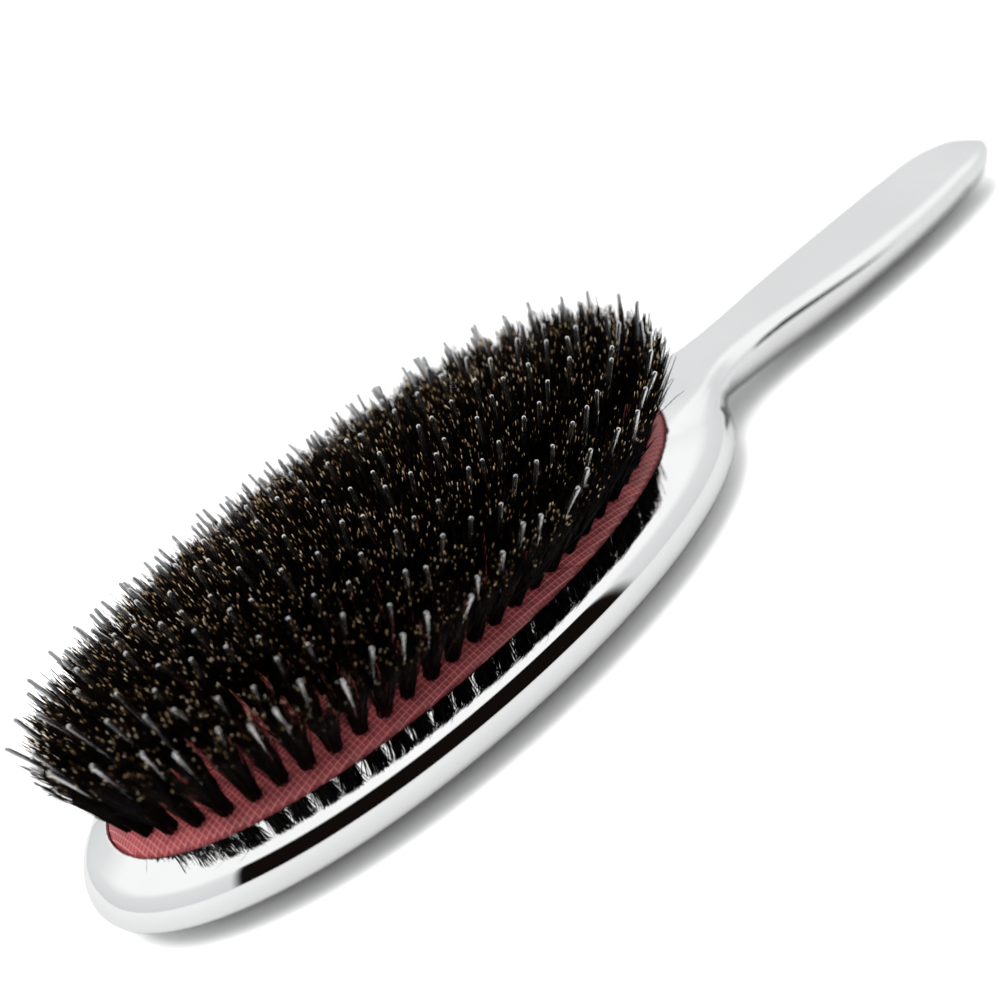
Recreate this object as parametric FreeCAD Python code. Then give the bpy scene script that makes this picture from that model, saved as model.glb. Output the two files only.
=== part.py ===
"""Oval cushion hair brush, in millimetres.

Frame: origin in the middle of the flat land on the back of the head, which is the resting plane.
+X runs from the head to the end of the handle, +Z out through the bristles.
"""
import FreeCAD, Part
import math
import os

Vector = FreeCAD.Vector

# Overall size
TOTAL_LENGTH = 225.0
HEAD_HALF_LENGTH = 67.6
HEAD_HALF_WIDTH = 32.4
HEAD_EXPONENT = 2.1
HANDLE_END_X = TOTAL_LENGTH - HEAD_HALF_LENGTH

# Heights of the head
SEAM_Z = 6.5
RIM_TOP_Z = 14.0
BACK_INSET = 24.0
BACK_DEGREES = (90, 70, 50, 32, 15, 0)
WALL = 2.0

# Rim section: a superellipse quarter from the widest outline (share 0) to the opening (share 1)
RIM_TOP_POWER = 1.6
RIM_SIDE_POWER = 2.2
RIM_SHARES = (0.0, 0.01, 0.04, 0.10, 0.20, 0.35, 0.55, 0.78, 0.98)

# Opening that the cushion sits in
OPENING_HALF_LENGTH = 57.7
OPENING_HALF_WIDTH = 26.5
OPENING_SHIFT_X = -2.6
LIP_THICKNESS = 2.0
LIP_UNDERSIDE_Z = RIM_TOP_Z - LIP_THICKNESS

# Cushion
CUSHION_EDGE_Z = 13.5
CUSHION_HEIGHT = 6.2
CUSHION_THICKNESS = 1.6
CUSHION_FLANGE = 2.2
CUSHION_GAP = 0.15
FLANGE_GAP = 0.02
FLANGE_CLEARANCE = 0.3
DOME_POWER = 0.65
DOME_STEPS = (0.0, 0.5, 1.5, 3.2, 6.0, 10.0, 15.0, 20.0, 24.2)
NARROWEST_OVAL = 0.3
INSIDE_DROP = 0.2
RIB_THICKNESS = 1.6

# Tufts
RING_INSETS = (3.2, 8.2, 13.2, 18.2, 23.2)
TUFT_PITCH = 4.35
LEAN_END = 0.30
LEAN_SIDE = 0.80
ROOT_RADIUS = 1.05
ROOT_BELOW = 2.9
ROOT_ABOVE = 0.8
TUFT_TOP_RADIUS = 2.3
TUFT_LENGTH = 14.5
PIN_RADIUS = 0.38
PIN_LENGTH = 20.5
PIN_TIP_BEVEL = 0.25
PIN_FIT = 0.05
HOLE_CLEARANCE = 0.10
HOLE_REACH = 1.6
ANCHOR_RADIUS = 0.3
ANCHOR_LENGTH = 3.0
ANCHOR_GAP = 0.03

# Handle stations: distance along X, half-width, top height, underside height, width of the bevel
HANDLE_STATIONS = (
    (56.0, 13.5, 13.4, 4.6, 2.2),
    (62.0, 12.0, 13.3, 4.5, 2.3),
    (66.5, 9.9, 13.2, 4.4, 2.3),
    (71.0, 8.2, 13.0, 4.3, 2.2),
    (76.0, 7.4, 12.8, 4.1, 2.1),
    (84.0, 7.3, 12.4, 3.7, 1.9),
    (94.0, 7.9, 11.7, 3.0, 1.7),
    (105.0, 8.8, 10.6, 1.9, 1.5),
    (116.0, 9.5, 9.6, 0.8, 1.4),
    (126.0, 9.9, 9.0, 0.35, 1.3),
    (135.0, 9.9, 8.7, 0.15, 1.2),
    (142.0, 9.3, 8.6, 0.3, 1.1),
)
BEVEL_SLOPE = 1.07
NARROW_HALF_WIDTH = 6.0
UNDERSIDE_POINTS = 12
END_SHARES = (0.3, 0.55, 0.75, 0.88, 0.96, 1.0)
END_ROUND_LEAST = 0.11
END_MIDDLE = 0.45
END_THICKNESS_POWER = 0.7
HOLLOW_FIRST_STATION = 3

# Seam of the two halves: level under the head, dropping along the handle
SEAM_BEND_X = 96.0
SEAM_END_Z = 4.5


def save(name, shape):
    """Write one node as a STEP file."""
    os.makedirs("parts", exist_ok=True)
    shape.exportStep(os.path.join("parts", name + ".step"))


def oval_point(half_length, half_width, angle, shift_x=0.0):
    """Point on a superellipse that is a little fuller than an ellipse."""
    power = 2.0 / HEAD_EXPONENT
    cosine = math.cos(angle)
    sine = math.sin(angle)
    x = half_length * math.copysign(abs(cosine) ** power, cosine)
    y = half_width * math.copysign(abs(sine) ** power, sine)
    return x + shift_x, y


def oval_wire(half_length, half_width, z, shift_x=0.0, count=40):
    """Closed smooth oval at height z."""
    points = []
    for index in range(count):
        x, y = oval_point(half_length, half_width, 2 * math.pi * index / count, shift_x)
        points.append(Vector(x, y, z))
    curve = Part.BSplineCurve()
    curve.interpolate(Points=points, PeriodicFlag=True)
    return Part.Wire([curve.toShape()])


def oval_prism(half_length, half_width, low_z, high_z, shift_x=0.0):
    """Straight-sided oval block."""
    face = Part.Face(oval_wire(half_length, half_width, low_z, shift_x))
    return face.extrude(Vector(0, 0, high_z - low_z))


def opening_prism(grow, low_z, high_z):
    """Block with the opening's outline, made larger by grow."""
    return oval_prism(OPENING_HALF_LENGTH + grow, OPENING_HALF_WIDTH + grow, low_z, high_z, OPENING_SHIFT_X)


def ovals_loft(levels):
    """Solid through ovals given as half-length, half-width, height and shift in X."""
    wires = [oval_wire(length, width, z, shift) for length, width, z, shift in levels]
    return Part.makeLoft(wires, True, False)


def back_levels(wall):
    """Ovals of the domed back, from the flat land up to the widest line; wall moves them inwards."""
    levels = []
    height = SEAM_Z - wall
    for degrees in BACK_DEGREES:
        angle = math.radians(degrees)
        inset = BACK_INSET * (1 - math.cos(angle)) + wall
        z = SEAM_Z - height * math.sin(angle)
        levels.append((HEAD_HALF_LENGTH - inset, HEAD_HALF_WIDTH - inset, z, 0.0))
    return levels


def rim_level(share):
    """Oval between the widest outline (share 0) and the opening (share 1)."""
    rise = (1 - (1 - share) ** RIM_TOP_POWER) ** (1 / RIM_SIDE_POWER)
    z = SEAM_Z + (RIM_TOP_Z - SEAM_Z) * rise
    length = HEAD_HALF_LENGTH + (OPENING_HALF_LENGTH - HEAD_HALF_LENGTH) * share
    width = HEAD_HALF_WIDTH + (OPENING_HALF_WIDTH - HEAD_HALF_WIDTH) * share
    return length, width, z, OPENING_SHIFT_X * share


def head_outside():
    """Head without hollow: domed back, rounded side and sloping rim."""
    back = ovals_loft(back_levels(0.0))
    front = ovals_loft([rim_level(share) for share in RIM_SHARES])
    return back, front


def handle_section(x, half_width, top_z, low_z, bevel, wall=0.0):
    """Closed outline across the handle: flat top, two bevels and a rounded underside."""
    bevel_width = bevel * min(1.0, half_width / NARROW_HALF_WIDTH)
    width = half_width - wall
    top = top_z - wall
    shoulder = top - bevel_width * BEVEL_SLOPE
    flat = width - bevel_width
    bottom = low_z + wall
    left_top = Vector(x, -flat, top)
    right_top = Vector(x, flat, top)
    right_side = Vector(x, width, shoulder)
    left_side = Vector(x, -width, shoulder)
    under_points = []
    for step in range(UNDERSIDE_POINTS + 1):
        angle = math.pi * step / UNDERSIDE_POINTS
        z = shoulder - (shoulder - bottom) * math.sin(angle)
        under_points.append(Vector(x, width * math.cos(angle), z))
    under = Part.BSplineCurve()
    under.interpolate(under_points)
    edges = [
        Part.LineSegment(left_top, right_top).toShape(),
        Part.LineSegment(right_top, right_side).toShape(),
        under.toShape(),
        Part.LineSegment(left_side, left_top).toShape(),
    ]
    return Part.Wire(edges)


def end_stations():
    """Stations of the rounded end: an ellipse in plan, with the thickness closing in."""
    start_x, start_width, start_top, start_low, bevel = HANDLE_STATIONS[-1]
    length = HANDLE_END_X - start_x
    middle = start_low + END_MIDDLE * (start_top - start_low)
    stations = []
    for share in END_SHARES:
        round_off = max(math.sqrt(1.0 - share ** 2), END_ROUND_LEAST)
        thick = round_off ** END_THICKNESS_POWER
        top = middle + (start_top - middle) * thick
        low = middle + (start_low - middle) * thick
        stations.append((start_x + length * share, start_width * round_off, top, low, bevel))
    return stations


def handle_outside():
    """Handle without hollow, reaching into the head."""
    sections = [handle_section(*station) for station in HANDLE_STATIONS]
    sections += [handle_section(*station) for station in end_stations()]
    return Part.makeLoft(sections, True, False)


def handle_hollow():
    """Hollow of the handle, open into the head."""
    sections = []
    for station in HANDLE_STATIONS[HOLLOW_FIRST_STATION:]:
        sections.append(handle_section(*station, WALL))
    return Part.makeLoft(sections, True, False)


def seam_block():
    """Everything below the seam: level under the head, dropping along the handle."""
    reach = 2 * TOTAL_LENGTH
    end_x = HANDLE_END_X + 10
    corners = [
        Vector(-reach, -reach, -reach),
        Vector(-reach, -reach, SEAM_Z),
        Vector(SEAM_BEND_X, -reach, SEAM_Z),
        Vector(end_x, -reach, SEAM_END_Z),
        Vector(end_x, -reach, -reach),
    ]
    return Part.Face(Part.makePolygon(corners + corners[:1])).extrude(Vector(0, 2 * reach, 0))


def head_hollow():
    """Air chamber under the rim and inside the back."""
    bowl = ovals_loft(back_levels(WALL))
    groove = CUSHION_FLANGE + FLANGE_CLEARANCE
    top = (OPENING_HALF_LENGTH + groove, OPENING_HALF_WIDTH + groove, LIP_UNDERSIDE_Z, OPENING_SHIFT_X)
    seam = (HEAD_HALF_LENGTH - WALL, HEAD_HALF_WIDTH - WALL, SEAM_Z, 0.0)
    ring = ovals_loft([seam, top])
    mouth = opening_prism(0.0, LIP_UNDERSIDE_Z - 0.5, RIM_TOP_Z + 5)
    return bowl.fuse(ring).fuse(mouth)


def cushion_rib():
    """Upright rib of the back half that holds the cushion's flange against the lip."""
    top_z = LIP_UNDERSIDE_Z - CUSHION_THICKNESS - 2 * FLANGE_GAP
    outer = CUSHION_FLANGE - CUSHION_GAP
    outside = opening_prism(outer, WALL / 2, top_z)
    inside = opening_prism(outer - RIB_THICKNESS, 0.0, top_z + WALL)
    return outside.cut(inside)


def body_halves():
    """Front and back mouldings of the plated body."""
    back, front = head_outside()
    outside = back.fuse(front).fuse(handle_outside())
    shell = outside.cut(head_hollow()).cut(handle_hollow())
    below = seam_block()
    front_half = shell.cut(below)
    back_half = shell.common(below)
    rib = cushion_rib().common(outside)
    back_half = back_half.fuse(rib)
    return front_half, back_half


def dome_height(inset):
    """Height of the cushion above its edge, at a distance inwards from the opening."""
    share = min(inset / OPENING_HALF_WIDTH, 1.0)
    return CUSHION_HEIGHT * (1 - (1 - share) ** 2) ** DOME_POWER


def dome(inset, base_z):
    """Solid dome standing on base_z, moved inwards by inset."""
    levels = []
    for step in DOME_STEPS:
        outline = inset + step
        length = OPENING_HALF_LENGTH - outline
        width = OPENING_HALF_WIDTH - outline
        if width > NARROWEST_OVAL:
            levels.append((length, width, base_z + dome_height(step), OPENING_SHIFT_X))
    return Part.makeLoft([oval_wire(*level) for level in levels], True, True)


def cushion(holes):
    """Domed rubber membrane with its clamped flange, pierced for the tufts."""
    low_z = LIP_UNDERSIDE_Z - CUSHION_THICKNESS - FLANGE_GAP
    flange = opening_prism(CUSHION_FLANGE, low_z, LIP_UNDERSIDE_Z - FLANGE_GAP)
    neck = opening_prism(-CUSHION_GAP, low_z, CUSHION_EDGE_Z)
    outside = flange.fuse(neck).fuse(dome(CUSHION_GAP, CUSHION_EDGE_Z))
    inner = CUSHION_GAP + CUSHION_THICKNESS
    inner_base = CUSHION_EDGE_Z - INSIDE_DROP
    inside_neck = opening_prism(-inner, low_z - CUSHION_THICKNESS, inner_base)
    inside = inside_neck.fuse(dome(inner, inner_base))
    return outside.cut(inside).cut(Part.makeCompound(holes))


def ring_places(inset):
    """Base point and direction of each tuft of one ring, evenly spaced around it."""
    length = OPENING_HALF_LENGTH - inset
    width = OPENING_HALF_WIDTH - inset
    outer_length = OPENING_HALF_LENGTH - RING_INSETS[0]
    outer_width = OPENING_HALF_WIDTH - RING_INSETS[0]
    steps = 1440
    points = [oval_point(length, width, 2 * math.pi * step / steps) for step in range(steps + 1)]
    travel = [0.0]
    for before, after in zip(points, points[1:]):
        travel.append(travel[-1] + math.dist(before, after))
    count = round(travel[-1] / TUFT_PITCH)
    places = []
    step = 0
    for index in range(count):
        target = travel[-1] * (index + 0.5) / count
        while travel[step] < target:
            step += 1
        x, y = points[step]
        base = Vector(x + OPENING_SHIFT_X, y, CUSHION_EDGE_Z + dome_height(inset))
        direction = Vector(LEAN_END * x / outer_length, LEAN_SIDE * y / outer_width, 1.0)
        places.append((base, direction.normalize()))
    return places


def turned(profile):
    """Solid of revolution about Z from radius and height pairs."""
    points = [Vector(radius, 0, z) for radius, z in profile]
    face = Part.Face(Part.makePolygon(points + points[:1]))
    return face.revolve(Vector(0, 0, 0), Vector(0, 0, 1), 360)


def placed(shape, base, direction):
    """Copy of a shape modelled on +Z, moved to base and turned to direction."""
    copy = shape.copy()
    copy.Placement = FreeCAD.Placement(base, FreeCAD.Rotation(Vector(0, 0, 1), direction))
    return copy


def tuft_model():
    """Bunch of bristles: tight root through the rubber, flaring above it, bored for its pin."""
    bore = PIN_RADIUS + PIN_FIT
    return turned((
        (bore, -ROOT_BELOW),
        (ROOT_RADIUS, -ROOT_BELOW),
        (ROOT_RADIUS, ROOT_ABOVE),
        (TUFT_TOP_RADIUS, TUFT_LENGTH),
        (bore, TUFT_LENGTH),
    ))


def pin_model():
    """Nylon pin with a softly rounded tip."""
    return turned((
        (0.0, -ROOT_BELOW),
        (PIN_RADIUS, -ROOT_BELOW),
        (PIN_RADIUS, PIN_LENGTH - PIN_TIP_BEVEL),
        (PIN_RADIUS - PIN_TIP_BEVEL, PIN_LENGTH),
        (0.0, PIN_LENGTH),
    ))


def anchor_model():
    """Short wire across the foot of the tuft."""
    drop = ROOT_BELOW + ANCHOR_GAP + ANCHOR_RADIUS
    start = Vector(-ANCHOR_LENGTH / 2, 0, -drop)
    return Part.makeCylinder(ANCHOR_RADIUS, ANCHOR_LENGTH, start, Vector(1, 0, 0))


def hole_model():
    """Clearance hole through the rubber around the root."""
    low = 2 * ROOT_BELOW
    start = Vector(0, 0, -low)
    return Part.makeCylinder(ROOT_RADIUS + HOLE_CLEARANCE, low + HOLE_REACH, start, Vector(0, 0, 1))


def main():
    tuft = tuft_model()
    pin = pin_model()
    anchor = anchor_model()
    hole = hole_model()
    holes = []
    for number, inset in enumerate(RING_INSETS, start=1):
        places = ring_places(inset)
        save("bristle_tufts_ring_%d" % number, Part.makeCompound([placed(tuft, *place) for place in places]))
        save("nylon_pins_ring_%d" % number, Part.makeCompound([placed(pin, *place) for place in places]))
        save("anchor_wires_ring_%d" % number, Part.makeCompound([placed(anchor, *place) for place in places]))
        holes += [placed(hole, *place) for place in places]
    save("air_cushion", cushion(holes))
    front_half, back_half = body_halves()
    save("front_shell", front_half)
    save("back_shell", back_half)


main()
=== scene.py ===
"""Looks of the oval cushion hair brush: chrome body, woven rubber cushion, boar bristles, nylon pins.

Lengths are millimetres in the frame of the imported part, and MM turns them into metres.
"""
import math

import bmesh
import bpy
import numpy as np
from mathutils import Matrix, Vector


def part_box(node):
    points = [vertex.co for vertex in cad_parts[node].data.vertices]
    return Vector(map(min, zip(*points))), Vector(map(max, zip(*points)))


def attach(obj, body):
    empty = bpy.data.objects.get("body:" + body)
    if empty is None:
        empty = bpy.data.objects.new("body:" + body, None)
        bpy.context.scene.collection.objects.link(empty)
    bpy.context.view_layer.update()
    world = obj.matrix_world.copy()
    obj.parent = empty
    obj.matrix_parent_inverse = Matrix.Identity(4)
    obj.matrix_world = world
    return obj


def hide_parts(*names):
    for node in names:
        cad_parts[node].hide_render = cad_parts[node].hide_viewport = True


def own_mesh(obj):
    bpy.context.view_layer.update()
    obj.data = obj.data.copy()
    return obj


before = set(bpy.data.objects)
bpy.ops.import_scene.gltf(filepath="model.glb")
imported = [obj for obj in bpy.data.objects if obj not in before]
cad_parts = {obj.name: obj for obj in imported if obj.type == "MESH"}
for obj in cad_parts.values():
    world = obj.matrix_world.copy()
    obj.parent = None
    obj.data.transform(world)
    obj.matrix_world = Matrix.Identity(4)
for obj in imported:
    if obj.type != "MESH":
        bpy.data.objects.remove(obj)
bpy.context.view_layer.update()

MM = 0.001

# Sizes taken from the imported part
front_low, front_high = [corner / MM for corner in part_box("front_shell")]
cushion_low, cushion_high = [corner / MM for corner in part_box("air_cushion")]
HEAD_HALF_LENGTH = -front_low.x
HEAD_HALF_WIDTH = front_high.y
BODY_END_X = front_high.x
RIM_TOP_Z = front_high.z

# Shape of the head
OVAL_POWER = 2.1
SEAM_Z = 6.5
BACK_INSET = 24.0
WALL = 2.0

# Section of the rim: two arcs that end where their normals have these heights, then a straight slope
RIM_SIDE_RADIUS = 8.5
RIM_SIDE_ANGLE = math.radians(31)
RIM_CORNER_RADIUS = 4.0
RIM_CORNER_ANGLE = math.radians(62)

CUSHION_FLANGE = 2.2
OPENING_HALF_LENGTH = (cushion_high.x - cushion_low.x) / 2 - CUSHION_FLANGE
OPENING_HALF_WIDTH = cushion_high.y - CUSHION_FLANGE
OPENING_SHIFT_X = (cushion_high.x + cushion_low.x) / 2
LIP_ROUND = 0.5
NECK_BLEND = 2.4

# Handle: distance along X, half-width, top height, underside height, width of the bevel
HANDLE_STATIONS = np.array((
    (50.0, 14.6, 13.3, 4.7, 2.0),
    (56.0, 13.5, 13.4, 4.6, 2.2),
    (62.0, 12.0, 13.3, 4.4, 2.3),
    (66.5, 9.9, 13.2, 4.0, 2.2),
    (71.0, 8.3, 13.0, 3.5, 2.0),
    (76.0, 7.7, 12.8, 3.0, 1.8),
    (84.0, 7.8, 12.5, 2.5, 1.6),
    (94.0, 8.8, 12.0, 1.9, 1.5),
    (105.0, 9.8, 11.4, 1.6, 1.5),
    (116.0, 10.3, 10.9, 1.5, 1.4),
    (126.0, 10.4, 10.6, 1.5, 1.3),
    (135.0, 10.1, 10.5, 1.7, 1.2),
    (142.0, 9.5, 10.5, 2.1, 1.1),
))
BEVEL_SLOPE = 1.07
EDGE_ROUND = 0.6
HOLLOW_END_X = 140.0
END_MIDDLE = 0.6
END_THICKNESS_POWER = 0.4
SEAM_BEND_X = 96.0
SEAM_END_Z = 5.6
SEAM_SLOPE = (SEAM_Z - SEAM_END_Z) / (BODY_END_X + 10 - SEAM_BEND_X)
BODY_STEP = 0.5

# Cushion and tufts
CUSHION_EDGE_Z = 13.5
CUSHION_HEIGHT = 6.2
CUSHION_GAP = 0.15
DOME_POWER = 0.65
WEAVE_RIB = 0.375
WEAVE_PITCH_X = 0.84
WEAVE_PITCH_Y = 0.75
WEAVE_THREAD = 0.065
WEAVE_RAISE = 0.05
SKIRT_DEPTH = 1.2
RING_INSETS = (3.2, 8.2, 13.2, 18.2, 23.2)
TUFT_PITCH = 4.35
LEAN_END = 0.30
LEAN_SIDE = 0.80
ROOT_RADIUS = 1.05
TUFT_TOP_RADIUS = 2.5
TUFT_LENGTH = 14.5
ROOT_BELOW = 2.9
PIN_RADIUS = 0.38
PIN_LENGTH = 20.5
HAIRS_PER_TUFT = 112
SEED = 7

# Studio: the dark side of the room, in degrees
DARK_AZIMUTH = -4.5
DARK_HALF_WIDTH = 43.5
DARK_TOP = 34.0

# Camera: angles in radians, distance and target in millimetres
CAMERA_AZIMUTH = -0.517
CAMERA_ELEVATION = 0.489
CAMERA_ROLL = -0.448
CAMERA_DISTANCE = 285.03
CAMERA_TARGET = (26.66, 9.0, 11.2)
FOCUS_PLACE = (-14.0, -8.0, 20.0)


# ---------------------------------------------------------------- shapes as fields

def smooth_max(a, b, width):
    """Larger of two fields, rounded over width."""
    share = np.maximum(width - np.abs(a - b), 0) / width
    return np.maximum(a, b) + share * share * width / 4


def smooth_min(a, b, width):
    """Smaller of two fields, rounded over width."""
    return -smooth_max(-a, -b, width)


def oval_share(x, y, length, width, length_drop, width_drop, shift, low, high):
    """How far the oval through a point has moved from the first outline, in units of the drops."""
    power = OVAL_POWER

    def measure(share):
        across = np.abs(x - shift * share) / (length - length_drop * share)
        aside = np.abs(y) / (width - width_drop * share)
        return (across ** power + aside ** power + 1e-12) ** (1 / power)

    share = np.zeros(np.broadcast(x, y).shape)
    nudge = 1e-5
    for _ in range(6):
        value = measure(share)
        slope = (measure(share + nudge) - value) / nudge
        share = np.clip(share + (1 - value) / np.maximum(slope, 1e-4), low, high)
    return share


def rim_share(x, y):
    """0 on the widest outline of the head, 1 on the opening."""
    return oval_share(
        x, y, HEAD_HALF_LENGTH, HEAD_HALF_WIDTH,
        HEAD_HALF_LENGTH - OPENING_HALF_LENGTH, HEAD_HALF_WIDTH - OPENING_HALF_WIDTH,
        OPENING_SHIFT_X, -1.0, 2.0,
    )


def rim_band(x):
    """Plan width of the rim, widest towards the handle."""
    side = HEAD_HALF_WIDTH - OPENING_HALF_WIDTH
    end = HEAD_HALF_LENGTH - OPENING_HALF_LENGTH - OPENING_SHIFT_X * np.sign(x)
    return side + (end - side) * np.clip(np.abs(x) / HEAD_HALF_LENGTH, 0, 1) ** 2


def rim_inwards(z):
    """Distance of the rim inwards from the widest outline at height z, across the side of the head."""
    step_in = RIM_SIDE_RADIUS - RIM_CORNER_RADIUS
    side_top = RIM_SIDE_RADIUS * math.sin(RIM_SIDE_ANGLE)
    side = RIM_SIDE_RADIUS - np.sqrt(RIM_SIDE_RADIUS ** 2 - np.clip(z - SEAM_Z, 0, side_top) ** 2)
    centre_in = RIM_SIDE_RADIUS - step_in * math.cos(RIM_SIDE_ANGLE)
    centre_z = SEAM_Z + step_in * math.sin(RIM_SIDE_ANGLE)
    corner_top = RIM_CORNER_RADIUS * math.sin(RIM_CORNER_ANGLE)
    corner = centre_in - np.sqrt(RIM_CORNER_RADIUS ** 2 - np.clip(z - centre_z, 0, corner_top) ** 2)
    slope_in = centre_in - RIM_CORNER_RADIUS * math.cos(RIM_CORNER_ANGLE)
    slope_z = centre_z + corner_top
    run = (HEAD_HALF_WIDTH - OPENING_HALF_WIDTH - slope_in) / (RIM_TOP_Z - slope_z)
    slope = slope_in + (z - slope_z) * run
    return np.where(z < SEAM_Z + side_top, side, np.where(z < slope_z, corner, slope))


def head_field(x, y, z):
    """Signed distance, near enough, to the outside of the head."""
    reach = 0.02
    wider = rim_band(x) / (HEAD_HALF_WIDTH - OPENING_HALF_WIDTH)
    run = wider * (rim_inwards(z + reach) - rim_inwards(z - reach)) / (2 * reach)
    front = (rim_inwards(z) * wider - rim_share(x, y) * rim_band(x)) / np.sqrt(1 + run ** 2)
    inset = oval_share(x, y, HEAD_HALF_LENGTH, HEAD_HALF_WIDTH, 1.0, 1.0, 0.0, -6.0, BACK_INSET)
    inwards = 1 - inset / BACK_INSET
    down = (SEAM_Z - z) / SEAM_Z
    radius = np.sqrt(inwards ** 2 + down ** 2) + 1e-9
    steepness = np.sqrt((inwards / BACK_INSET) ** 2 + (down / SEAM_Z) ** 2) + 1e-9
    back = (radius - 1) * radius / steepness
    return np.where(z >= SEAM_Z, front, back)


def station_values(x):
    """Half-width, top, underside and bevel of the handle at x, by cubic curves through the stations."""
    at = HANDLE_STATIONS[:, 0]
    slopes = np.gradient(HANDLE_STATIONS[:, 1:], at, axis=0)
    x = np.clip(x, at[0], at[-1])
    index = np.clip(np.searchsorted(at, x, side="right") - 1, 0, len(at) - 2)
    span = at[index + 1] - at[index]
    t = ((x - at[index]) / span)[..., None]
    span = span[..., None]
    start, stop = HANDLE_STATIONS[index, 1:], HANDLE_STATIONS[index + 1, 1:]
    value = (
        start * (1 + 2 * t) * (1 - t) ** 2
        + slopes[index] * span * t * (1 - t) ** 2
        + stop * t * t * (3 - 2 * t)
        + slopes[index + 1] * span * t * t * (t - 1)
    )
    return np.moveaxis(value, -1, 0)


def handle_field(x, y, z):
    """Signed distance, near enough, to the outside of the handle."""
    half_width, top, low, bevel_width = station_values(x)
    end_start = HANDLE_STATIONS[-1, 0]
    share = np.clip((x - end_start) / (BODY_END_X - end_start), 0, 0.9995)
    close = np.sqrt(1 - share ** 2)
    middle = low + END_MIDDLE * (top - low)
    across = np.abs(y) / close
    height = middle + (z - middle) / close ** END_THICKNESS_POWER
    shoulder = top - bevel_width * BEVEL_SLOPE
    bevel = ((across - half_width) * BEVEL_SLOPE + height - shoulder) / math.hypot(BEVEL_SLOPE, 1)
    depth = shoulder - low
    below = np.maximum(shoulder - height, 0)
    ratio = np.sqrt((across / half_width) ** 2 + (below / depth) ** 2) + 1e-9
    steepness = np.sqrt((across / half_width ** 2) ** 2 + (below / depth ** 2) ** 2) + 1e-9
    under = ratio * (ratio - 1) / steepness
    body = smooth_max(smooth_max(height - top, bevel, EDGE_ROUND), under, EDGE_ROUND)
    body = np.maximum(body, HANDLE_STATIONS[0, 0] - x)
    return np.maximum(body * close, x - BODY_END_X)


def body_field(x, y, z):
    """Outside of the whole body: head and handle run together with a small fillet."""
    return smooth_min(head_field(x, y, z), handle_field(x, y, z), NECK_BLEND)


def shell_field(x, y, z):
    """Hollow body with the cushion's opening."""
    outside = body_field(x, y, z)
    hollow = np.maximum(outside + WALL, x - HOLLOW_END_X)
    mouth = np.maximum((1 - rim_share(x, y)) * rim_band(x), SEAM_Z - z)
    return smooth_max(outside, -np.minimum(hollow, mouth), LIP_ROUND)


def gradient(field, points):
    """Direction and steepness of a field at points."""
    reach = 0.02
    parts = []
    for axis in np.eye(3) * reach:
        ahead, behind = points + axis, points - axis
        parts.append((field(*ahead.T) - field(*behind.T)) / (2 * reach))
    return np.stack(parts, axis=-1)


def surface_net(field, low, high, step):
    """Quads where the field changes sign on a grid, then moved exactly onto the surface."""
    axes = [np.arange(low[k], high[k] + step, step) for k in range(3)]
    values = field(axes[0][:, None, None], axes[1][None, :, None], axes[2][None, None, :])
    inside = values < 0
    cells = np.array(values.shape) - 1
    total = np.zeros(cells)
    place = np.zeros((*cells, 3))

    def corner(array, offset):
        return array[tuple(slice(o, o + n) for o, n in zip(offset, cells))]

    grid = np.stack(np.meshgrid(*[np.arange(n) for n in cells], indexing="ij"), axis=-1)
    for axis in range(3):
        others = [k for k in range(3) if k != axis]
        for first in (0, 1):
            for second in (0, 1):
                start = [0, 0, 0]
                start[others[0]], start[others[1]] = first, second
                stop = list(start)
                stop[axis] = 1
                a, b = corner(values, start), corner(values, stop)
                crossing = (a < 0) != (b < 0)
                share = np.where(crossing, a / np.where(crossing, a - b, 1), 0)
                total += crossing
                for k in range(3):
                    along = share if k == axis else start[k]
                    place[..., k] += crossing * (grid[..., k] + along)
    mixed = total > 0
    number = np.full(cells, -1)
    number[mixed] = np.arange(mixed.sum())
    points = place[mixed] / total[mixed][:, None] * step + np.array([a[0] for a in axes])
    quads = []
    for axis in range(3):
        b, c = (axis + 1) % 3, (axis + 2) % 3
        near = [slice(1, n) for n in cells]
        near[axis] = slice(0, cells[axis])
        far = list(near)
        far[axis] = slice(1, cells[axis] + 1)
        first, second = inside[tuple(near)], inside[tuple(far)]
        found = np.argwhere(first != second)
        leaving = first[tuple(found.T)]
        found = found + [0 if k == axis else 1 for k in range(3)]
        around = []
        for back_b, back_c in ((1, 1), (0, 1), (0, 0), (1, 0)):
            cell = found.copy()
            cell[:, b] -= back_b
            cell[:, c] -= back_c
            around.append(number[tuple(cell.T)])
        quad = np.stack(around, axis=-1)
        quads.append(np.where(leaving[:, None], quad, quad[:, ::-1]))
    for _ in range(4):
        slope = gradient(field, points)
        size = (slope ** 2).sum(-1) + 1e-6
        move = (field(*points.T) / size)[:, None] * slope
        points = points - np.clip(move, -step / 2, step / 2)
    return points, np.concatenate(quads)


# ---------------------------------------------------------------- meshes

def mesh_object(name, points, faces):
    """New object from points in millimetres."""
    mesh = bpy.data.meshes.new(name)
    mesh.from_pydata((np.asarray(points) * MM).tolist(), [], [list(map(int, face)) for face in faces])
    mesh.validate()
    thing = bpy.data.objects.new(name, mesh)
    bpy.context.scene.collection.objects.link(thing)
    return thing


def shade_smooth(thing):
    """Smooth shading on every face."""
    thing.data.polygons.foreach_set("use_smooth", [True] * len(thing.data.polygons))


def seam_height(x):
    """Height of the seam of the two halves at x."""
    return SEAM_Z - np.maximum(x - SEAM_BEND_X, 0) * SEAM_SLOPE


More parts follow.
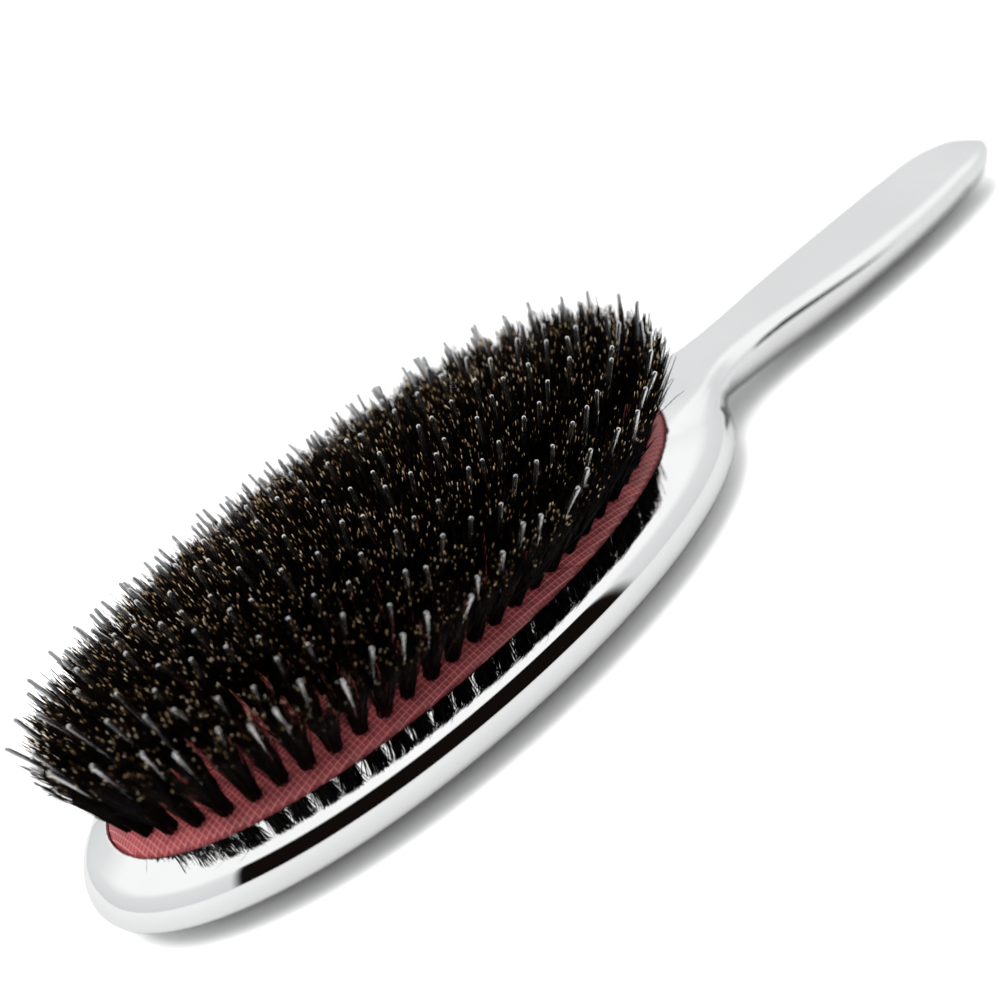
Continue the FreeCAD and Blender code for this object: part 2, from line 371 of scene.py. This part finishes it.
def half_shell(name, points, quads, upper):
    """One half of the body, cut at the seam and closed there, with exact normals."""
    flat = points.copy()
    flat[:, 2] -= seam_height(points[:, 0])
    work = bmesh.new()
    corners = [work.verts.new(p) for p in flat.tolist()]
    for quad in quads.tolist():
        work.faces.new([corners[k] for k in quad])
    parts = list(work.verts) + list(work.edges) + list(work.faces)
    bmesh.ops.bisect_plane(
        work, geom=parts, dist=1e-4, plane_co=(0, 0, 0), plane_no=(0, 0, 1),
        clear_inner=upper, clear_outer=not upper,
    )
    rim = [edge for edge in work.edges if edge.is_boundary]
    made = bmesh.ops.triangle_fill(work, edges=rim, use_beauty=True, normal=(0, 0, -1 if upper else 1))
    cap = [part for part in made["geom"] if isinstance(part, bmesh.types.BMFace)]
    for face in cap:
        face.material_index = 1
    for vert in work.verts:
        vert.co.z += seam_height(vert.co.x)
    work.normal_update()
    mesh = bpy.data.meshes.new(name)
    work.to_mesh(mesh)
    work.free()
    count = len(mesh.vertices)
    places = np.zeros(count * 3)
    mesh.vertices.foreach_get("co", places)
    places = places.reshape(-1, 3)
    normals = gradient(shell_field, places)
    normals /= np.linalg.norm(normals, axis=1)[:, None] + 1e-9
    owner = np.zeros(len(mesh.loops), int)
    mesh.loops.foreach_get("vertex_index", owner)
    loop_normals = normals[owner]
    for polygon in mesh.polygons:
        if polygon.material_index == 1:
            for loop in polygon.loop_indices:
                loop_normals[loop] = polygon.normal
    mesh.polygons.foreach_set("use_smooth", [True] * len(mesh.polygons))
    mesh.polygons.foreach_set("material_index", [0] * len(mesh.polygons))
    mesh.vertices.foreach_set("co", (places * MM).ravel())
    mesh.normals_split_custom_set(loop_normals.tolist())
    thing = bpy.data.objects.new(name, mesh)
    bpy.context.scene.collection.objects.link(thing)
    return thing


def dome_height(inset):
    """Height of the cushion above its edge, at a distance inwards from the opening."""
    share = np.clip(inset / OPENING_HALF_WIDTH, 0, 1)
    return CUSHION_HEIGHT * (1 - (1 - share) ** 2) ** DOME_POWER


def opening_inset(x, y):
    """Distance inwards from the opening."""
    deepest = OPENING_HALF_WIDTH - 0.05
    return oval_share(
        x - OPENING_SHIFT_X, y, OPENING_HALF_LENGTH, OPENING_HALF_WIDTH, 1.0, 1.0, 0.0, -3.0, deepest,
    )


def cushion_top():
    """Domed rubber with a woven backing that shows as fine raised lines, and a short skirt."""
    def lines(reach, pitch):
        steps = np.arange(-math.ceil(reach / pitch), math.ceil(reach / pitch) + 1) * pitch
        return np.stack((steps - WEAVE_THREAD, steps, steps + WEAVE_THREAD), axis=-1).ravel()

    xs = lines(OPENING_HALF_LENGTH, WEAVE_PITCH_X)
    ys = lines(OPENING_HALF_WIDTH, WEAVE_PITCH_Y)
    x, y = np.meshgrid(xs, ys, indexing="ij")
    on_thread_x = (np.arange(len(xs)) % 3 == 1)[:, None]
    on_thread_y = (np.arange(len(ys)) % 3 == 1)[None, :]
    raised = on_thread_x | on_thread_y
    power = OVAL_POWER
    half_length = OPENING_HALF_LENGTH - CUSHION_GAP
    half_width = OPENING_HALF_WIDTH - CUSHION_GAP
    measure = (np.abs(x / half_length) ** power + np.abs(y / half_width) ** power) ** (1 / power)
    outside = measure > 1
    x = x / np.maximum(measure, 1)
    y = y / np.maximum(measure, 1)
    z = CUSHION_EDGE_Z + dome_height(opening_inset(x + OPENING_SHIFT_X, y) - CUSHION_GAP)
    z = z + np.where(raised & ~outside, WEAVE_RAISE, 0.0)
    number = np.arange(x.size).reshape(x.shape)
    around = (number[:-1, :-1], number[1:, :-1], number[1:, 1:], number[:-1, 1:])
    quads = np.stack(around, axis=-1).reshape(-1, 4)
    kept = (~outside.ravel()[quads]).sum(axis=1) >= 1
    points = np.stack((x + OPENING_SHIFT_X, y, z), axis=-1).reshape(-1, 3)
    thing = mesh_object("cushion_rubber_dome", points, quads[kept])
    point_values(thing, "thread", raised & ~outside)
    work = bmesh.new()
    work.from_mesh(thing.data)
    bmesh.ops.remove_doubles(work, verts=work.verts, dist=0.00002)
    loose = [vert for vert in work.verts if not vert.link_faces]
    bmesh.ops.delete(work, geom=loose, context="VERTS")
    rim = [edge for edge in work.edges if edge.is_boundary]
    skirt = bmesh.ops.extrude_edge_only(work, edges=rim)
    for part in skirt["geom"]:
        if isinstance(part, bmesh.types.BMVert):
            part.co.z -= SKIRT_DEPTH * MM
    work.to_mesh(thing.data)
    work.free()
    shade_smooth(thing)
    return thing


def ring_places(inset):
    """Base point and direction of each tuft of one ring, evenly spaced around it."""
    steps = 1440
    power = 2 / OVAL_POWER
    angles = np.linspace(0, 2 * math.pi, steps + 1)
    cosine, sine = np.cos(angles), np.sin(angles)
    x = (OPENING_HALF_LENGTH - inset) * np.sign(cosine) * np.abs(cosine) ** power
    y = (OPENING_HALF_WIDTH - inset) * np.sign(sine) * np.abs(sine) ** power
    travel = np.concatenate(([0], np.cumsum(np.hypot(np.diff(x), np.diff(y)))))
    count = round(travel[-1] / TUFT_PITCH)
    index = np.searchsorted(travel, travel[-1] * (np.arange(count) + 0.5) / count)
    x, y = x[index], y[index]
    height = CUSHION_EDGE_Z + dome_height(inset)
    bases = np.stack((x + OPENING_SHIFT_X, y, np.full(count, height)), axis=-1)
    lean_x = LEAN_END * x / (OPENING_HALF_LENGTH - RING_INSETS[0])
    lean_y = LEAN_SIDE * y / (OPENING_HALF_WIDTH - RING_INSETS[0])
    ways = np.stack((lean_x, lean_y, np.ones(count)), axis=-1)
    return bases, ways / np.linalg.norm(ways, axis=1)[:, None]


def side_axes(ways):
    """Two directions across each direction."""
    first = np.cross(ways, (0.0, 1.0, 0.0))
    first /= np.linalg.norm(first, axis=-1)[..., None]
    return first, np.cross(ways, first)


def strands(centres, radii, sides, first, second):
    """Points and faces of many thin closed rods: centres (rod, ring, 3) and radii (rod, ring)."""
    rods, rings = radii.shape
    angles = 2 * math.pi * np.arange(sides) / sides
    ring = (
        np.cos(angles)[None, None, :, None] * first[:, None, None, :]
        + np.sin(angles)[None, None, :, None] * second[:, None, None, :]
    )
    points = centres[:, :, None, :] + ring * radii[:, :, None, None]
    base = (np.arange(rods) * rings * sides)[:, None]
    faces = []
    for level in range(rings - 1):
        for side in range(sides):
            other = (side + 1) % sides
            a, b = level * sides + side, level * sides + other
            quad = np.array((b, a, a + sides, b + sides))
            faces.append((base + quad[None, :]))
    quads = np.concatenate(faces)
    foot = base + np.arange(sides)[None, :]
    tip = base + ((rings - 1) * sides + np.arange(sides)[::-1])[None, :]
    return points.reshape(-1, 3), quads.tolist() + foot.tolist() + tip.tolist()


def point_values(thing, name, values):
    """Named number at each point, for the materials."""
    attribute = thing.data.attributes.new(name, "FLOAT", "POINT")
    attribute.data.foreach_set("value", np.asarray(values, np.float32).ravel())


def bristles(name, bases, ways, random):
    """Tufts of boar bristle: tight at the root, splayed and uneven at the tips."""
    count = HAIRS_PER_TUFT
    way = np.repeat(ways, count, axis=0)
    base = np.repeat(bases, count, axis=0)
    total = len(base)
    tilt = np.repeat(random.normal(0, 0.035, (len(bases), 2)), count, axis=0)
    first, second = side_axes(way)
    angle = random.uniform(0, 2 * math.pi, total)
    radius = np.sqrt(random.uniform(0, 1, total))
    spread = TUFT_TOP_RADIUS / ROOT_RADIUS * random.uniform(0.85, 1.15, total)
    length = TUFT_LENGTH * random.normal(1.12, 0.11, total)
    stray = random.uniform(0, 1, total) < 0.022
    bend = random.normal(0, 0.75, (total, 2)) + stray[:, None] * random.normal(0, 3.6, (total, 2))
    length = np.where(stray, length * random.uniform(0.95, 1.15, total), length)
    levels = np.array((-0.12, 0.2, 0.55, 0.88, 1.0))
    centres = []
    for level in levels:
        out = max(level, 0.0)
        flare = ROOT_RADIUS * (1 + (spread - 1) * out ** 1.1)
        side_a = radius * np.cos(angle) * flare + bend[:, 0] * out ** 2 + tilt[:, 0] * out * TUFT_LENGTH
        side_b = radius * np.sin(angle) * flare + bend[:, 1] * out ** 2 + tilt[:, 1] * out * TUFT_LENGTH
        spot = base + way * (length * level)[:, None]
        centres.append(spot + first * side_a[:, None] + second * side_b[:, None])
    thick = random.uniform(0.8, 1.15, total)[:, None]
    radii = np.array((0.10, 0.105, 0.09, 0.07, 0.04))[None, :] * thick
    points, faces = strands(np.stack(centres, axis=1), radii, 3, first, second)
    thing = mesh_object(name, points, faces)
    point_values(thing, "along", np.tile(np.repeat(levels, 3), total))
    point_values(thing, "tone", np.repeat(random.uniform(0, 1, total), 3 * len(levels)))
    shade_smooth(thing)
    return thing


def pins(name, bases, ways, random):
    """Clear nylon pins with rounded tips, each leaning a little its own way."""
    count = len(bases)
    first, second = side_axes(ways)
    lean = random.normal(0, 0.045, (count, 2))
    bow = random.normal(0, 0.35, (count, 2))
    length = PIN_LENGTH * random.normal(0.975, 0.015, count)
    levels = np.array((-0.14, 0.0, 0.3, 0.6, 0.8, 0.965, 0.985, 0.996, 1.0))
    widths = np.array((1.0, 1.0, 1.0, 1.0, 1.0, 1.02, 0.95, 0.7, 0.25))
    centres = []
    for level in levels:
        out = max(level, 0.0)
        side_a = lean[:, 0] * out * PIN_LENGTH + bow[:, 0] * math.sin(math.pi * out)
        side_b = lean[:, 1] * out * PIN_LENGTH + bow[:, 1] * math.sin(math.pi * out)
        spot = bases + ways * (length * level)[:, None]
        centres.append(spot + first * side_a[:, None] + second * side_b[:, None])
    radii = np.tile(widths * PIN_RADIUS, (count, 1))
    points, faces = strands(np.stack(centres, axis=1), radii, 10, first, second)
    thing = mesh_object(name, points, faces)
    shade_smooth(thing)
    return thing


# ---------------------------------------------------------------- materials

def new_material(name):
    """Material with an empty principled shader; returns the material, its nodes, links and shader."""
    material = bpy.data.materials.new(name)
    material.use_nodes = True
    tree = material.node_tree
    return material, tree.nodes, tree.links, tree.nodes["Principled BSDF"]


def noise(nodes, links, scale, detail=3.0):
    """Noise in object space."""
    place = nodes.new("ShaderNodeTexCoord")
    texture = nodes.new("ShaderNodeTexNoise")
    texture.inputs["Scale"].default_value = scale
    texture.inputs["Detail"].default_value = detail
    links.new(place.outputs["Object"], texture.inputs["Vector"])
    return texture.outputs["Fac"]


def ramp(nodes, links, value, stops):
    """Colour ramp; stops are (position, colour)."""
    node = nodes.new("ShaderNodeValToRGB")
    while len(node.color_ramp.elements) < len(stops):
        node.color_ramp.elements.new(0.5)
    for element, (position, colour) in zip(node.color_ramp.elements, stops):
        element.position = position
        element.color = (*colour, 1)
    links.new(value, node.inputs["Fac"])
    return node.outputs["Color"]


def math_node(nodes, links, operation, first, second):
    """One arithmetic node; inputs are sockets or numbers."""
    node = nodes.new("ShaderNodeMath")
    node.operation = operation
    for socket, value in zip(node.inputs, (first, second)):
        if isinstance(value, (int, float)):
            socket.default_value = value
        else:
            links.new(value, socket)
    return node.outputs[0]


def mix_colours(nodes, links, factor, first, second, blend="MIX"):
    """Two colours mixed; each input is a socket or a value."""
    node = nodes.new("ShaderNodeMix")
    node.data_type = "RGBA"
    node.blend_type = blend
    for name, value in (("Factor", factor), ("A", first), ("B", second)):
        if isinstance(value, (float, tuple)):
            node.inputs[name].default_value = value
        else:
            links.new(value, node.inputs[name])
    return node.outputs["Result"]


def attribute_value(nodes, name):
    """Number stored at each point under a name."""
    node = nodes.new("ShaderNodeAttribute")
    node.attribute_name = name
    return node.outputs["Fac"]


def bump(nodes, links, shader, height, strength, distance):
    """Fine surface relief."""
    node = nodes.new("ShaderNodeBump")
    node.inputs["Strength"].default_value = strength
    node.inputs["Distance"].default_value = distance
    links.new(height, node.inputs["Height"])
    links.new(node.outputs["Normal"], shader.inputs["Normal"])


def chrome_material():
    """Mirror chrome plating with a faint haze."""
    material, nodes, links, shader = new_material("chrome_plating")
    shader.inputs["Metallic"].default_value = 1.0
    haze = noise(nodes, links, 60.0)
    colour = ramp(nodes, links, haze, ((0.3, (0.90, 0.905, 0.905)), (0.7, (0.94, 0.945, 0.945))))
    links.new(colour, shader.inputs["Base Color"])
    rough = ramp(nodes, links, haze, ((0.3, (0.018,) * 3), (0.75, (0.045,) * 3)))
    links.new(rough, shader.inputs["Roughness"])
    return material


def rubber_material():
    """Maroon rubber over a woven backing whose threads show lighter."""
    material, nodes, links, shader = new_material("cushion_rubber")
    cloud = noise(nodes, links, 180.0)
    base = ramp(nodes, links, cloud, ((0.3, (0.22, 0.030, 0.036)), (0.7, (0.30, 0.045, 0.052))))
    place = nodes.new("ShaderNodeTexCoord")
    split = nodes.new("ShaderNodeSeparateXYZ")
    links.new(place.outputs["Object"], split.inputs[0])
    wave = math_node(nodes, links, "MULTIPLY", split.outputs["Y"], 2 * math.pi / (WEAVE_RIB * MM))
    rib = math_node(nodes, links, "SINE", wave, 0.0)
    ribs = ramp(nodes, links, rib, ((0.0, (1.0,) * 3), (0.75, (0.55,) * 3)))
    shade = mix_colours(nodes, links, 1.0, base, ribs, "MULTIPLY")
    thread = math_node(nodes, links, "MULTIPLY", attribute_value(nodes, "thread"), 0.8)
    colour = mix_colours(nodes, links, thread, shade, (0.70, 0.24, 0.23, 1))
    links.new(colour, shader.inputs["Base Color"])
    links.new(ramp(nodes, links, cloud, ((0.3, (0.42,) * 3), (0.7, (0.55,) * 3))), shader.inputs["Roughness"])
    bump(nodes, links, shader, noise(nodes, links, 2500.0), 0.25, 0.00005)
    return material


def bristle_material():
    """Near-black boar bristle with brown and golden tips."""
    material, nodes, links, shader = new_material("boar_bristle")
    tone = attribute_value(nodes, "tone")
    along = attribute_value(nodes, "along")
    body = ramp(nodes, links, tone, ((0.0, (0.0008, 0.0006, 0.0006)), (1.0, (0.003, 0.002, 0.0015))))
    tips = ramp(nodes, links, tone, (
        (0.0, (0.002, 0.0015, 0.001)),
        (0.76, (0.006, 0.004, 0.003)),
        (0.84, (0.16, 0.09, 0.04)),
        (0.93, (0.55, 0.38, 0.20)),
        (1.0, (0.80, 0.70, 0.55)),
    ))
    towards = nodes.new("ShaderNodeMapRange")
    towards.inputs["From Min"].default_value = 0.955
    towards.inputs["From Max"].default_value = 0.985
    links.new(along, towards.inputs["Value"])
    colour = mix_colours(nodes, links, towards.outputs["Result"], body, tips)
    links.new(colour, shader.inputs["Base Color"])
    links.new(ramp(nodes, links, tone, ((0.0, (0.30,) * 3), (1.0, (0.48,) * 3))), shader.inputs["Roughness"])
    shader.inputs["Specular IOR Level"].default_value = 0.015
    return material


def nylon_material():
    """Clear, slightly smoky nylon."""
    material, nodes, links, shader = new_material("clear_nylon")
    cloud = noise(nodes, links, 700.0)
    colour = ramp(nodes, links, cloud, ((0.3, (0.25, 0.26, 0.27)), (0.7, (0.35, 0.36, 0.37))))
    links.new(colour, shader.inputs["Base Color"])
    links.new(ramp(nodes, links, cloud, ((0.3, (0.04,) * 3), (0.7, (0.10,) * 3))), shader.inputs["Roughness"])
    shader.inputs["Transmission Weight"].default_value = 0.97
    shader.inputs["IOR"].default_value = 1.5
    return material


def steel_material():
    """Drawn steel wire with fine noise in its colour and roughness."""
    material, nodes, links, shader = new_material("anchor_steel")
    shader.inputs["Metallic"].default_value = 1.0
    lines = noise(nodes, links, 1500.0)
    colour = ramp(nodes, links, lines, ((0.3, (0.42, 0.42, 0.43)), (0.7, (0.60, 0.60, 0.61))))
    links.new(colour, shader.inputs["Base Color"])
    links.new(ramp(nodes, links, lines, ((0.3, (0.25,) * 3), (0.7, (0.40,) * 3))), shader.inputs["Roughness"])
    return material


def dress(thing, material):
    """Only one material on a piece, with its slot name."""
    thing.data.materials.clear()
    thing.data.materials.append(material)


# ---------------------------------------------------------------- stage

def build_floor():
    """Large pale floor, darker to glossy rays: painted shade where the chrome reflects it."""
    mesh = bpy.data.meshes.new("floor")
    work = bmesh.new()
    bmesh.ops.create_circle(work, cap_ends=True, radius=4.0, segments=96)
    work.to_mesh(mesh)
    work.free()
    floor = bpy.data.objects.new("floor", mesh)
    bpy.context.scene.collection.objects.link(floor)
    material, nodes, links, shader = new_material("pale_floor_painted_shade_in_reflections")
    seen = nodes.new("ShaderNodeLightPath")
    # Painted shade: the floor is 0.93 to the camera but only 0.37 in reflections, so the chrome mirrors a
    # grey, seemingly shaded floor
    colour = ramp(nodes, links, seen.outputs["Is Glossy Ray"], ((0.0, (0.93,) * 3), (1.0, (0.37,) * 3)))
    links.new(colour, shader.inputs["Base Color"])
    shader.inputs["Roughness"].default_value = 0.9
    shader.inputs["Specular IOR Level"].default_value = 0.1
    mesh.materials.append(material)


def build_world():
    """White studio all round, dark on the side of the camera up to a third of the sky."""
    world = bpy.data.worlds.new("studio")
    bpy.context.scene.world = world
    world.use_nodes = True
    nodes, links = world.node_tree.nodes, world.node_tree.links
    background = nodes["Background"]
    place = nodes.new("ShaderNodeTexCoord")
    split = nodes.new("ShaderNodeSeparateXYZ")
    links.new(place.outputs["Generated"], split.inputs[0])
    up = split.outputs["Z"]
    flat = nodes.new("ShaderNodeVectorMath")
    flat.operation = "MULTIPLY"
    flat.inputs[1].default_value = (1, 1, 0)
    links.new(place.outputs["Generated"], flat.inputs[0])
    level = nodes.new("ShaderNodeVectorMath")
    level.operation = "NORMALIZE"
    links.new(flat.outputs[0], level.inputs[0])
    facing = nodes.new("ShaderNodeVectorMath")
    facing.operation = "DOT_PRODUCT"
    dark_way = math.radians(DARK_AZIMUTH)
    facing.inputs[1].default_value = (math.sin(dark_way), -math.cos(dark_way), 0)
    links.new(level.outputs[0], facing.inputs[0])

    def between(value, low, high):
        node = nodes.new("ShaderNodeMapRange")
        node.interpolation_type = "SMOOTHSTEP"
        node.inputs["From Min"].default_value = low
        node.inputs["From Max"].default_value = high
        links.new(value, node.inputs["Value"])
        return node.outputs["Result"]

    edge = math.cos(math.radians(DARK_HALF_WIDTH))
    sector = between(facing.outputs["Value"], edge - 0.03, edge + 0.03)
    top = math.sin(math.radians(DARK_TOP))
    below_top = between(up, top + 0.02, top - 0.02)
    dark = math_node(nodes, links, "MULTIPLY", sector, below_top)
    sky = ramp(nodes, links, up, (
        (0.0, (0.70, 0.715, 0.72)),
        (0.40, (0.78, 0.79, 0.795)),
        (0.62, (1.0, 1.0, 1.0)),
    ))
    room = mix_colours(nodes, links, dark, sky, (0.006, 0.004, 0.003, 1))
    seen = nodes.new("ShaderNodeLightPath")
    final = mix_colours(nodes, links, seen.outputs["Is Camera Ray"], room, (1, 1, 1, 1))
    links.new(final, background.inputs["Color"])
    strength = math_node(nodes, links, "MULTIPLY", seen.outputs["Is Diffuse Ray"], 0.6)
    links.new(math_node(nodes, links, "ADD", strength, 1.0), background.inputs["Strength"])


def add_light(name, place, target, size, power):
    """Square soft light aimed at a point; places in metres."""
    data = bpy.data.lights.new(name, "AREA")
    data.size = size
    data.energy = power
    light = bpy.data.objects.new(name, data)
    bpy.context.scene.collection.objects.link(light)
    light.location = place
    aim = Vector(place) - Vector(target)
    light.rotation_mode = "QUATERNION"
    light.rotation_quaternion = aim.to_track_quat("Z", "Y")
    light.visible_glossy = False
    light.visible_transmission = False


def build_camera():
    """Low view from the head's left end, turned a quarter of a right angle, with a shallow focus."""
    azimuth, elevation, roll = CAMERA_AZIMUTH, CAMERA_ELEVATION, CAMERA_ROLL
    target = Vector(CAMERA_TARGET)
    back = Vector((
        math.sin(azimuth) * math.cos(elevation),
        -math.cos(azimuth) * math.cos(elevation),
        math.sin(elevation),
    ))
    right = (-back).cross(Vector((0, 0, 1))).normalized()
    up = right.cross(-back)
    turned_right = right * math.cos(roll) + up * math.sin(roll)
    turned_up = up * math.cos(roll) - right * math.sin(roll)
    data = bpy.data.cameras.new("camera")
    data.sensor_width = 36.0
    data.lens = 59.8
    data.clip_start = 0.01
    camera = bpy.data.objects.new("camera", data)
    bpy.context.scene.collection.objects.link(camera)
    turn = Matrix((turned_right, turned_up, back)).transposed()
    camera.matrix_world = Matrix.Translation((target + back * CAMERA_DISTANCE) * MM) @ turn.to_4x4()
    focus = bpy.data.objects.new("focus", None)
    bpy.context.scene.collection.objects.link(focus)
    focus.location = Vector(FOCUS_PLACE) * MM
    data.dof.use_dof = True
    data.dof.focus_object = focus
    data.dof.aperture_fstop = 13.0
    bpy.context.scene.camera = camera


# ---------------------------------------------------------------- the brush

chrome = chrome_material()
rubber = rubber_material()
boar = bristle_material()
nylon = nylon_material()
steel = steel_material()

margin = 1.3
net_low = (-HEAD_HALF_LENGTH - margin, -HEAD_HALF_WIDTH - margin, -margin)
net_high = (BODY_END_X + margin, HEAD_HALF_WIDTH + margin, RIM_TOP_Z + margin)
net_points, net_quads = surface_net(shell_field, net_low, net_high, BODY_STEP)
for node, upper in (("front_shell", True), ("back_shell", False)):
    shell = half_shell("chrome_" + node, net_points, net_quads, upper)
    dress(shell, chrome)
    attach(shell, "handle_body")
    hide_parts(node)

cushion = cushion_top()
dress(cushion, rubber)
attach(cushion, "handle_body")
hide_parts("air_cushion")
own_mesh(cushion)

random = np.random.default_rng(SEED)
for ring, inset in enumerate(RING_INSETS, start=1):
    bases, ways = ring_places(inset)
    body = "tuft_ring_%d" % ring
    hair = bristles("boar_bristles_ring_%d" % ring, bases, ways, random)
    dress(hair, boar)
    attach(hair, body)
    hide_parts("bristle_tufts_ring_%d" % ring)
    rods = pins("nylon_rods_ring_%d" % ring, bases, ways, random)
    dress(rods, nylon)
    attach(rods, body)
    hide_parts("nylon_pins_ring_%d" % ring)
    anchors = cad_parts["anchor_wires_ring_%d" % ring]
    anchors.data.materials.clear()
    anchors.data.materials.append(steel)

build_floor()
build_world()
add_light("key", (-0.40, -0.10, 1.2), (0.03, 0, 0), 0.8, 20.0)
build_camera()
bpy.context.scene.view_settings.view_transform = "Standard"
